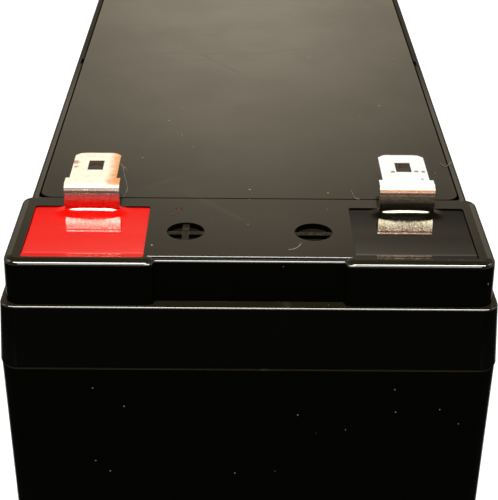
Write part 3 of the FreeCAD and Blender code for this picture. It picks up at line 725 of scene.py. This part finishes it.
@dataclass(frozen=True)
class PhotoCamera:
    """Camera that stands where the photograph was taken from, with clip distances in metres."""

    focal_pixels: float = 1268.3
    pitch: float = 28.53
    yaw: float = 0.39
    roll: float = 0.61
    place: Place = (-1.055, -212.81, 171.22)
    sensor: float = 36.0
    clip: tuple[float, float] = (0.01, 50.0)

    def axes(self) -> tuple[Vector, Vector, Vector]:
        """Give the camera's directions.

        Returns:
            Right, up and forward.
        """
        pitch, yaw, roll = (math.radians(angle) for angle in (self.pitch, self.yaw, self.roll))
        forward = Vector((
            math.sin(yaw) * math.cos(pitch), math.cos(yaw) * math.cos(pitch), -math.sin(pitch),
        ))
        level = Vector((math.cos(yaw), -math.sin(yaw), 0.0))
        rise = level.cross(forward)
        right = math.cos(roll) * level + math.sin(roll) * rise
        return right, math.cos(roll) * rise - math.sin(roll) * level, forward

    def build(self) -> bpy.types.Object:
        """Make the camera and look through it.

        Returns:
            The camera's object.
        """
        data = bpy.data.cameras.new("photo_camera")
        data.sensor_width = self.sensor
        data.lens = self.focal_pixels * self.sensor / max(PHOTO_SIZE)
        data.clip_start, data.clip_end = self.clip
        camera = bpy.data.objects.new("photo_camera", data)
        right, rise, forward = self.axes()
        camera.matrix_world = Matrix.Translation(Vector(self.place) * MM) @ Matrix((
            (right.x, rise.x, -forward.x, 0.0),
            (right.y, rise.y, -forward.y, 0.0),
            (right.z, rise.z, -forward.z, 0.0),
            (0.0, 0.0, 0.0, 1.0),
        ))
        bpy.context.scene.collection.objects.link(camera)
        bpy.context.scene.camera = camera
        return camera

    def meet(self, pixel: Pixel, height: float) -> Vector:
        """Find the point at one height that shows at a pixel.

        Args:
            pixel: Place in the photograph.
            height: Height of the point in millimetres.

        Returns:
            The point in millimetres.
        """
        right, rise, forward = self.axes()
        ray = forward + right * ((pixel[0] - PHOTO_SIZE[0] / 2) / self.focal_pixels)
        ray = ray - rise * ((pixel[1] - PHOTO_SIZE[1] / 2) / self.focal_pixels)
        start = Vector(self.place)
        return start + ray * ((height - start.z) / ray.z)


@dataclass(frozen=True)
class Softbox:
    """Rectangular lamp that faces the battery, with lengths in metres."""

    name: str
    elevation: float
    azimuth: float
    distance: float
    glow: float
    width: float = 0.5
    height: float = 0.5
    tint: Colour = WHITE
    only_gloss: bool = False
    no_gloss: bool = False

    def build(self, target: Vector) -> bpy.types.Object:
        """Make the lamp.

        Args:
            target: Point that it faces, in metres.

        Returns:
            The lamp's object.
        """
        data = bpy.data.lights.new(self.name, "AREA")
        data.shape = "RECTANGLE"
        data.size, data.size_y = self.width, self.height
        data.color = self.tint
        data.energy = self.glow * math.pi * self.width * self.height
        lamp = bpy.data.objects.new(self.name, data)
        azimuth, elevation = math.radians(self.azimuth), math.radians(self.elevation)
        way = Vector((
            math.sin(azimuth) * math.cos(elevation),
            -math.cos(azimuth) * math.cos(elevation),
            math.sin(elevation),
        ))
        lamp.location = target + way * self.distance
        lamp.rotation_euler = (-way).to_track_quat("-Z", "Y").to_euler()
        lamp.visible_camera = False
        lamp.visible_diffuse = not self.only_gloss
        lamp.visible_glossy = not self.no_gloss
        bpy.context.scene.collection.objects.link(lamp)
        LOG.info("lamp %s at %.2f m", self.name, self.distance)
        return lamp


@dataclass
class Studio:
    """Pale floor, white surroundings that dim in bands of height, and soft lamps, in metres."""

    floor_half: float = 2.5
    floor_colour: Colour = (0.55, 0.55, 0.54)
    floor_lift: float = 0.78
    fill: float = 0.25
    target: Place = (0.0, -0.03, 0.08)
    bands: tuple[tuple[float, float], ...] = (
        (0.262, 0.25), (0.29, 1.0), (0.33, 0.96), (0.36, 0.87), (0.39, 0.74), (0.43, 0.51),
        (0.48, 0.31), (0.56, 0.11), (0.70, 0.03),
    )
    band_tint: Colour = (1.0, 0.88, 0.68)
    dim_width: float = 0.2
    dim_aside: float = 0.5
    dim_in_front: float = 0.97
    lamps: tuple[Softbox, ...] = (
        Softbox("key_lamp", elevation=62.0, azimuth=-12.0, distance=0.9, glow=10.5,
                tint=(1.0, 0.985, 0.95), no_gloss=True),
        Softbox("left_fill_lamp", elevation=38.0, azimuth=-100.0, distance=1.1, glow=1.6),
        Softbox("right_fill_lamp", elevation=40.0, azimuth=95.0, distance=1.1, glow=1.4),
        Softbox("ceiling_gloss_lamp", elevation=71.0, azimuth=0.0, distance=0.7, glow=25.0,
                width=0.9, height=0.23, tint=(0.98, 1.0, 0.92), only_gloss=True),
        Softbox("front_gloss_lamp", elevation=34.0, azimuth=0.0, distance=0.8, glow=7.0,
                height=0.22, tint=(1.0, 0.98, 0.9), only_gloss=True),
    )

    def world(self) -> None:
        """Make the white surroundings, brightest low behind the battery."""
        world = bpy.data.worlds.new("studio_world")
        world.use_nodes = True
        tree = Tree(world.node_tree)
        across, along, height = tree.split(tree.out(tree.node("ShaderNodeTexCoord"), "Generated"))
        stops = [(place, dimmed(self.band_tint, tone)) for place, tone in self.bands]
        band = tree.out(tree.node("ShaderNodeValToRGB", {"stops": stops}, {0: height}))
        aside = abs(across).ramp(0.0, self.dim_width) * self.dim_aside
        ahead = along.ramp(self.dim_width, -self.dim_width) * self.dim_in_front
        band = tree.mix(band, BLACK, aside.largest(ahead))
        path = tree.node("ShaderNodeLightPath")
        glossy = tree.out(path, "Is Glossy Ray").largest(tree.out(path, "Is Transmission Ray"))
        colour = tree.mix(dimmed(WHITE, self.fill), band, glossy)
        colour = tree.mix(colour, WHITE, tree.out(path, "Is Camera Ray"))
        shader = tree.node("ShaderNodeBackground", inputs={"Color": colour, "Strength": 1.0})
        tree.node("ShaderNodeOutputWorld", inputs={"Surface": tree.out(shader)})
        bpy.context.scene.world = world

    def floor(self) -> bpy.types.Object:
        """Make the floor, which shows white to the camera and keeps the shadow.

        Returns:
            The floor's object.
        """
        made = bpy.data.materials.new("studio_floor")
        made.use_nodes = True
        tree = Tree(made.node_tree)
        mottle = tree.noise(60.0, detail=3.0)
        colour = tree.mix(self.floor_colour, dimmed(self.floor_colour, 0.97), mottle)
        seen = tree.out(tree.node("ShaderNodeLightPath"), "Is Camera Ray")
        cloth = tree.node("ShaderNodeBsdfDiffuse", inputs={"Color": colour})
        glow = tree.mix(BLACK, dimmed(WHITE, self.floor_lift), seen)
        lift = tree.node("ShaderNodeEmission", inputs={"Color": glow, "Strength": 1.0})
        both = tree.node("ShaderNodeAddShader", inputs={0: tree.out(cloth), 1: tree.out(lift)})
        tree.node("ShaderNodeOutputMaterial", inputs={"Surface": tree.out(both)})
        half = self.floor_half
        mesh = bpy.data.meshes.new("studio_floor")
        corners = [(-half, -half, 0), (half, -half, 0), (half, half, 0), (-half, half, 0)]
        mesh.from_pydata(corners, [], [(0, 1, 2, 3)])
        mesh.materials.append(made)
        floor = bpy.data.objects.new("studio_floor", mesh)
        bpy.context.scene.collection.objects.link(floor)
        return floor

    def build(self) -> None:
        """Make the floor, the surroundings and the lamps."""
        self.world()
        self.floor()
        for lamp in self.lamps:
            lamp.build(Vector(self.target))
        bpy.context.scene.view_settings.view_transform = "Standard"


class Recipe:
    """Geometry Nodes tree with named inputs, run once on a mesh and baked."""

    def __init__(self, name: str) -> None:
        """Start the tree with a geometry in and out.

        Args:
            name: Name of the tree.
        """
        self.group = bpy.data.node_groups.new(name, "GeometryNodeTree")
        self.tree = Tree(self.group)
        self.sockets: dict[str, str] = {}
        self.values: dict[str, object] = {}
        self.group.interface.new_socket("Geometry", in_out="INPUT", socket_type="NodeSocketGeometry")
        self.group.interface.new_socket("Geometry", in_out="OUTPUT", socket_type="NodeSocketGeometry")
        self.source = self.tree.node("NodeGroupInput")

    def size(self, name: str, value: object, kind: str = "NodeSocketFloat") -> Wire:
        """Add a named input.

        Args:
            name: Name of the input.
            value: What the modifier sets it to.
            kind: Blender's socket type.

        Returns:
            The input inside the tree.
        """
        socket = self.group.interface.new_socket(name, in_out="INPUT", socket_type=kind)
        self.sockets[name] = socket.identifier
        self.values[name] = value
        return self.tree.out(self.source, name)

    def geometry(self) -> Wire:
        """Give the mesh that comes in."""
        return self.tree.out(self.source, "Geometry")

    def close(self, geometry: Wire, finish: Finish) -> None:
        """End the tree with real geometry in its finish.

        Args:
            geometry: What the tree made.
            finish: Material of the result.
        """
        real = self.tree.node("GeometryNodeRealizeInstances", inputs={"Geometry": geometry})
        material = self.size("Finish", finish.material(), "NodeSocketMaterial")
        inputs = {"Geometry": self.tree.out(real), "Material": material}
        dressed = self.tree.node("GeometryNodeSetMaterial", inputs=inputs)
        self.tree.node("NodeGroupOutput", inputs={"Geometry": self.tree.out(dressed)})

    def bake(self, name: str, mesh: bpy.types.Mesh) -> bpy.types.Object:
        """Run the tree on a mesh and keep the result as a piece.

        Args:
            name: Name of the piece.
            mesh: Mesh that the tree reads.

        Returns:
            The finished piece.
        """
        carrier = bpy.data.objects.new(f"{name}_source", mesh)
        bpy.context.scene.collection.objects.link(carrier)
        modifier = carrier.modifiers.new("recipe", "NODES")
        modifier.node_group = self.group
        for key, value in self.values.items():
            modifier[self.sockets[key]] = value
        made = bpy.data.meshes.new_from_object(carrier.evaluated_get(bpy.context.evaluated_depsgraph_get()))
        carrier.modifiers.clear()
        bpy.data.objects.remove(carrier)
        made.name = name
        return keep_piece(name, made)


def keep_piece(name: str, mesh: bpy.types.Mesh) -> bpy.types.Object:
    """Make a piece that rides on the body.

    Args:
        name: Name of the piece.
        mesh: Its finished mesh, in place.

    Returns:
        The piece.
    """
    piece = bpy.data.objects.new(name, mesh)
    bpy.context.scene.collection.objects.link(piece)
    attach(piece, BODY)
    LOG.info("%s: %d vertices, %d faces", name, len(mesh.vertices), len(mesh.polygons))
    return piece


class Pole(Enum):
    """Terminal of the battery."""

    POSITIVE = "positive"
    NEGATIVE = "negative"


POLARITY_DISCS = ((-8.37, -65.725, 2.46), (8.37, -65.725, 2.46))
RED_STAINS = ((-24.2, -52.0, 0.7), (-23.9, -53.6, 0.4))
GREY_STAINS = ((19.7, -54.5, 0.45), (22.9, -54.3, 0.4), (23.9, -54.4, 0.4), (23.5, -56.8, 0.3))


@dataclass
class Case:
    """Container, lid and vent cover."""

    container: Finish = MouldedPlastic("container_plastic", top_gloss=0.0, lint=0.5)
    lid: Finish = MouldedPlastic("lid_plastic", dull_discs=POLARITY_DISCS)
    # The cover's painted light on its top faces is a touch brighter than the lid's
    cover: Finish = MouldedPlastic(
        "cover_plastic", gloss_from=0.90, gloss_whole=0.985, painted_light_colour_on_top=(0.018, 0.0145, 0.008), lint=0.05
    )

    def build(self) -> None:
        """Dress the three mouldings."""
        self.container.dress("container")
        self.lid.dress("lid")
        self.cover.dress("vent_cover")


@dataclass
class Cells:
    """Plates, mats, valve caps, posts and rings inside the case."""

    count: int = 6
    positive: Finish = PlatePaste("positive_paste")
    negative: Finish = PlatePaste("negative_paste", (0.16, 0.165, 0.17))
    mat: Finish = GlassMat("glass_mat")
    rubber: Finish = SoftRubber("soft_rubber")
    lead: Finish = CastLead("cast_lead")

    def build(self) -> None:
        """Dress the inner pieces."""
        for number in range(1, self.count + 1):
            self.positive.dress(f"cell_{number}_positive_plates")
            self.negative.dress(f"cell_{number}_negative_plates")
            self.mat.dress(f"cell_{number}_separators")
            self.rubber.dress(f"valve_cap_{number}")
        for pole in Pole:
            self.lead.dress(f"{pole.value}_post")
            self.rubber.dress(f"{pole.value}_post_ring")


@dataclass
class Terminal:
    """Tab and resin of one terminal."""

    pole: Pole
    strip: Finish
    resin: Finish
    mesh_step: float = 0.1
    deck: float = 94.0
    drop: float = 0.3
    front_slope: float = 0.125
    front_reach: float = 1.4
    front_bend: float = 0.12
    dish_reach: float = 6.0
    dish_depth: float = 0.12
    riser_reach: float = 1.2
    riser_steepness: float = 0.145
    foot_climb: float = 0.16
    foot_reach: float = 0.4
    strip_thickness: float = 0.8
    blade_reach: float = 10.4
    reach_narrowing: float = 0.4
    foot_lowering: float = 0.6
    side_pinch: float = 1.3
    foot_pinch: float = 3.0

    def surface(self, x: np.ndarray, y: np.ndarray, low: Vector, high: Vector) -> np.ndarray:
        """Work out the resin's height.

        The resin climbs the front wall of its well and the riser, and sags between them.

        Args:
            x: Places across, in millimetres.
            y: Places along, in millimetres.
            low: Low corner of the resin in millimetres.
            high: High corner of the resin in millimetres.

        Returns:
            The heights in millimetres.
        """
        tab_low, tab_high = (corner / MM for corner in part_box(f"{self.pole.value}_tab"))
        riser_back = tab_high.y - self.blade_reach
        riser_front = riser_back - self.strip_thickness
        half = (tab_high.x - tab_low.x) / 2.0
        off = np.abs(x - (tab_low.x + tab_high.x) / 2.0)
        centred = np.minimum(off / half, 1.0)
        ahead = np.maximum(np.maximum(riser_front - y, y - riser_back), 0.0)
        aside = np.maximum(off - half, 0.0)
        reach = self.riser_reach * (1.0 - self.reach_narrowing * centred ** 2)
        climb = self.riser_steepness * reach * math.exp(0.5)
        foot = self.foot_climb * (1.0 - self.foot_lowering * centred ** 4)
        to_front = y - low.y
        lip = self.front_bend * np.logaddexp(0.0, (self.front_reach - to_front) / self.front_bend)
        height = self.deck - self.drop + self.front_slope * lip
        for to_wall in (to_front, high.y - y):
            height = height + self.dish_depth * np.maximum(1.0 - to_wall / self.dish_reach, 0.0) ** 2
        height = height + climb * np.exp(-0.5 * (np.hypot(self.side_pinch * aside, ahead) / reach) ** 2)
        return height + foot * np.exp(-np.hypot(self.foot_pinch * aside, ahead) / self.foot_reach)

    def fill(self) -> bpy.types.Object:
        """Make the resin as one closed skin over its well.

        Returns:
            The resin's object.
        """
        name = self.pole.value
        low, high = (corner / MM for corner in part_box(f"{name}_seal"))
        columns = round((high.x - low.x) / self.mesh_step) + 1
        rows = round((high.y - low.y) / self.mesh_step) + 1
        x, y = np.meshgrid(np.linspace(low.x, high.x, columns), np.linspace(low.y, high.y, rows))
        top = np.stack([x, y, self.surface(x, y, low, high)], axis=-1).reshape(-1, 3)
        number = np.arange(rows * columns).reshape(rows, columns)
        near, far = number[:-1], number[1:]
        faces = np.stack([near[:, :-1], near[:, 1:], far[:, 1:], far[:, :-1]], axis=-1)
        faces = faces.reshape(-1, 4).tolist()
        rim = np.concatenate([number[0, :-1], number[:-1, -1], number[-1, :0:-1], number[:0:-1, 0]])
        foot = top[rim] * (1.0, 1.0, 0.0) + (0.0, 0.0, low.z)
        below = np.arange(len(rim)) + len(top)
        for k in range(len(rim)):
            after = (k + 1) % len(rim)
            faces.append([int(rim[k]), int(below[k]), int(below[after]), int(rim[after])])
        faces.append([int(k) for k in below[::-1]])
        mesh = bpy.data.meshes.new(f"{name}_resin")
        mesh.from_pydata((np.concatenate([top, foot]) * MM).tolist(), [], faces)
        mesh.shade_smooth()
        mesh.materials.append(self.resin.material())
        piece = keep_piece(f"{name}_resin", mesh)
        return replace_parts(piece, f"{name}_seal")

    def build(self) -> None:
        """Dress the tab and pour the resin."""
        self.strip.dress(f"{self.pole.value}_tab")
        self.fill()


@dataclass
class Litter:
    """Dust specks, crumbs and lint fibres that lie on the case, some where the photograph shows them.

    The fibres' turn and the specks' tilt are in radians.
    """

    camera: PhotoCamera
    lid_top: float = 94.0
    fibre_radius: float = 0.03
    fibre_lift: float = 1.5
    fibre_wave: float = 2.0
    fibre_turn: float = 1.9
    crumb_radius: float = 0.1
    least_up: float = 0.9
    speck_shape: Place = (1.0, 0.6, 0.35)
    speck_tilt: Place = (0.6, 0.6, 6.28)
    speck_skew: float = 2.5
    rust: Colour = (0.75, 0.30, 0.03)
    rust_pixels: tuple[Pixel, ...] = ((328.0, 193.0), (142.5, 158.0))
    red: Colour = (0.35, 0.03, 0.02)
    red_pixels: tuple[Pixel, ...] = ((176.3, 207.6), (181.5, 208.4), (178.6, 212.0), (173.0, 214.5))
    fibres: dict[str, tuple[Pixel, ...]] = field(default_factory=lambda: {
        "beside_positive_tab": (
            (118.6, 164.3), (122.9, 167.1), (125.0, 177.0), (126.9, 184.3), (127.1, 190.0), (124.3, 195.7),
            (120.0, 196.4),
        ),
        "second_strand": ((120.5, 164.0), (124.5, 167.0), (127.4, 171.5)),
        "beside_cover": ((440.0, 162.9), (445.7, 166.4), (452.0, 161.4)),
        "before_cover": ((351.4, 190.0), (354.3, 197.0), (359.3, 199.3)),
        "between_marks": ((288.5, 249.8), (294.5, 248.6), (299.0, 246.0), (301.4, 242.8)),
    })

    def strands(self) -> bpy.types.Object:
        """Lay the fibres along their paths.

        Returns:
            The fibres as one piece.
        """
        points: list[Vector] = []
        edges: list[tuple[int, int]] = []
        for path in self.fibres.values():
            for k, pixel in enumerate(path):
                lift = self.fibre_lift + self.fibre_wave * math.sin(self.fibre_turn * k)
                height = self.lid_top + self.fibre_radius * lift
                if k:
                    edges.append((len(points) - 1, len(points)))
                points.append(self.camera.meet(pixel, height) * MM)
        mesh = bpy.data.meshes.new("fibre_paths")
        mesh.from_pydata(points, edges, [])
        recipe = Recipe("lint_fibres")
        tree = recipe.tree
        radius = recipe.size("Radius", self.fibre_radius * MM)
        curve = tree.node("GeometryNodeMeshToCurve", inputs={"Mesh": recipe.geometry()})
        smooth = {"spline_type": "CATMULL_ROM"}
        kind = tree.node("GeometryNodeCurveSplineType", smooth, {"Curve": tree.out(curve)})
        inputs = {"Geometry": tree.out(kind), "Resolution": 8}
        finer = tree.node("GeometryNodeSetSplineResolution", inputs=inputs)
        inputs = {"Resolution": 6, "Radius": radius}
        ring = tree.node("GeometryNodeCurvePrimitiveCircle", {"mode": "RADIUS"}, inputs)
        inputs = {"Curve": tree.out(finer), "Profile Curve": tree.out(ring), "Fill Caps": True}
        recipe.close(tree.out(tree.node("GeometryNodeCurveToMesh", inputs=inputs)), Fluff("lint"))
        return recipe.bake("lint_fibres", mesh)

    def specks(self, node: str, density: float, seed: int, low: float, high: float) -> bpy.types.Object:
        """Scatter dust over a node.

        Args:
            node: Node of the frame that the dust lies on.
            density: Specks per square metre.
            seed: Seed of the scatter.
            low: Smallest speck in millimetres.
            high: Largest speck in millimetres.

        Returns:
            The specks as one piece.
        """
        recipe = Recipe(f"{node}_dust")
        tree = recipe.tree
        thick = recipe.size("Density", density)
        smallest = recipe.size("Smallest", low * MM)
        largest = recipe.size("Largest", high * MM)
        _, _, up = tree.split(tree.out(tree.node("GeometryNodeInputNormal")))
        spread = tree.node("GeometryNodeDistributePointsOnFaces", {"distribute_method": "RANDOM"}, {
            "Mesh": recipe.geometry(), "Selection": up > self.least_up, "Density": thick, "Seed": seed,
        })
        flake = tree.node("GeometryNodeMeshIcoSphere", inputs={"Radius": 1.0, "Subdivisions": 1})
        inputs = {"Geometry": tree.out(flake), "Scale": self.speck_shape}
        thin = tree.node("GeometryNodeTransform", inputs=inputs)
        wide = tree.node("FunctionNodeRandomValue", {"data_type": "FLOAT"}, {"Seed": seed + 1})
        share = tree.out(wide, RANDOM_FLOAT) ** self.speck_skew
        size = smallest + (largest - smallest) * share
        turn = tree.node("FunctionNodeRandomValue", {"data_type": "FLOAT_VECTOR"}, {
            "Min": (0.0, 0.0, 0.0), "Max": self.speck_tilt, "Seed": seed + 2,
        })
        put = tree.node("GeometryNodeInstanceOnPoints", inputs={
            "Points": tree.out(spread), "Instance": tree.out(thin), "Rotation": tree.out(turn), "Scale": size,
        })
        recipe.close(tree.out(put), Fluff("dust"))
        return recipe.bake(f"{node}_dust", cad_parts[node].data.copy())

    def crumbs(self, name: str, pixels: tuple[Pixel, ...], colour: Colour) -> bpy.types.Object:
        """Drop a few coloured crumbs where the photograph shows them.

        Args:
            name: Name of the piece.
            pixels: Places of the crumbs in the photograph.
            colour: Colour of the crumbs.

        Returns:
            The crumbs as one piece.
        """
        mesh = bpy.data.meshes.new(f"{name}_places")
        places = [self.camera.meet(pixel, self.lid_top + 0.5 * self.crumb_radius) * MM for pixel in pixels]
        mesh.from_pydata(places, [], [])
        recipe = Recipe(name)
        tree = recipe.tree
        radius = recipe.size("Radius", self.crumb_radius * MM)
        points = tree.node("GeometryNodeMeshToPoints", inputs={"Mesh": recipe.geometry()})
        crumb = tree.node("GeometryNodeMeshIcoSphere", inputs={"Radius": radius, "Subdivisions": 2})
        inputs = {"Points": tree.out(points), "Instance": tree.out(crumb)}
        put = tree.node("GeometryNodeInstanceOnPoints", inputs=inputs)
        recipe.close(tree.out(put), Fluff(name, colour))
        return recipe.bake(name, mesh)

    def build(self) -> None:
        """Lay fibres, dust and crumbs."""
        self.strands()
        self.specks("lid", density=24000.0, seed=3, low=0.02, high=0.13)
        self.specks("vent_cover", density=12000.0, seed=8, low=0.02, high=0.12)
        self.crumbs("rust_crumbs", self.rust_pixels, self.rust)
        self.crumbs("red_crumbs", self.red_pixels, self.red)


def main() -> None:
    """Build the scene in order."""
    logging.basicConfig(level=logging.INFO, format="%(name)s: %(message)s")
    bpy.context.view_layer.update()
    camera = PhotoCamera()
    camera.build()
    Studio().build()
    Case().build()
    Cells().build()
    Terminal(
        Pole.POSITIVE,
        TinnedStrip(
            "positive_strip",
            plating=(0.98, 0.91, 0.72),
            riser=(0.97, 0.86, 0.74),
            # Bend colour of speckles and painted shade
            bend_dots_and_shade=(0.13, 0.085, 0.07),
            blush_width=1.8,
            stain=(0.55, 0.25, 0.18),
            stains=RED_STAINS,
        ),
        CastResin("red_resin", colour=(0.9, 0.004, 0.002), fleck=(0.5, 0.01, 0.01)),
    ).build()
    Terminal(
        Pole.NEGATIVE,
        TinnedStrip("negative_strip", stains=GREY_STAINS),
        CastResin("black_resin", colour=(0.004, 0.0032, 0.0018), fleck=(0.10, 0.09, 0.07)),
    ).build()
    Litter(camera).build()


if __name__ == "__main__":
    main()
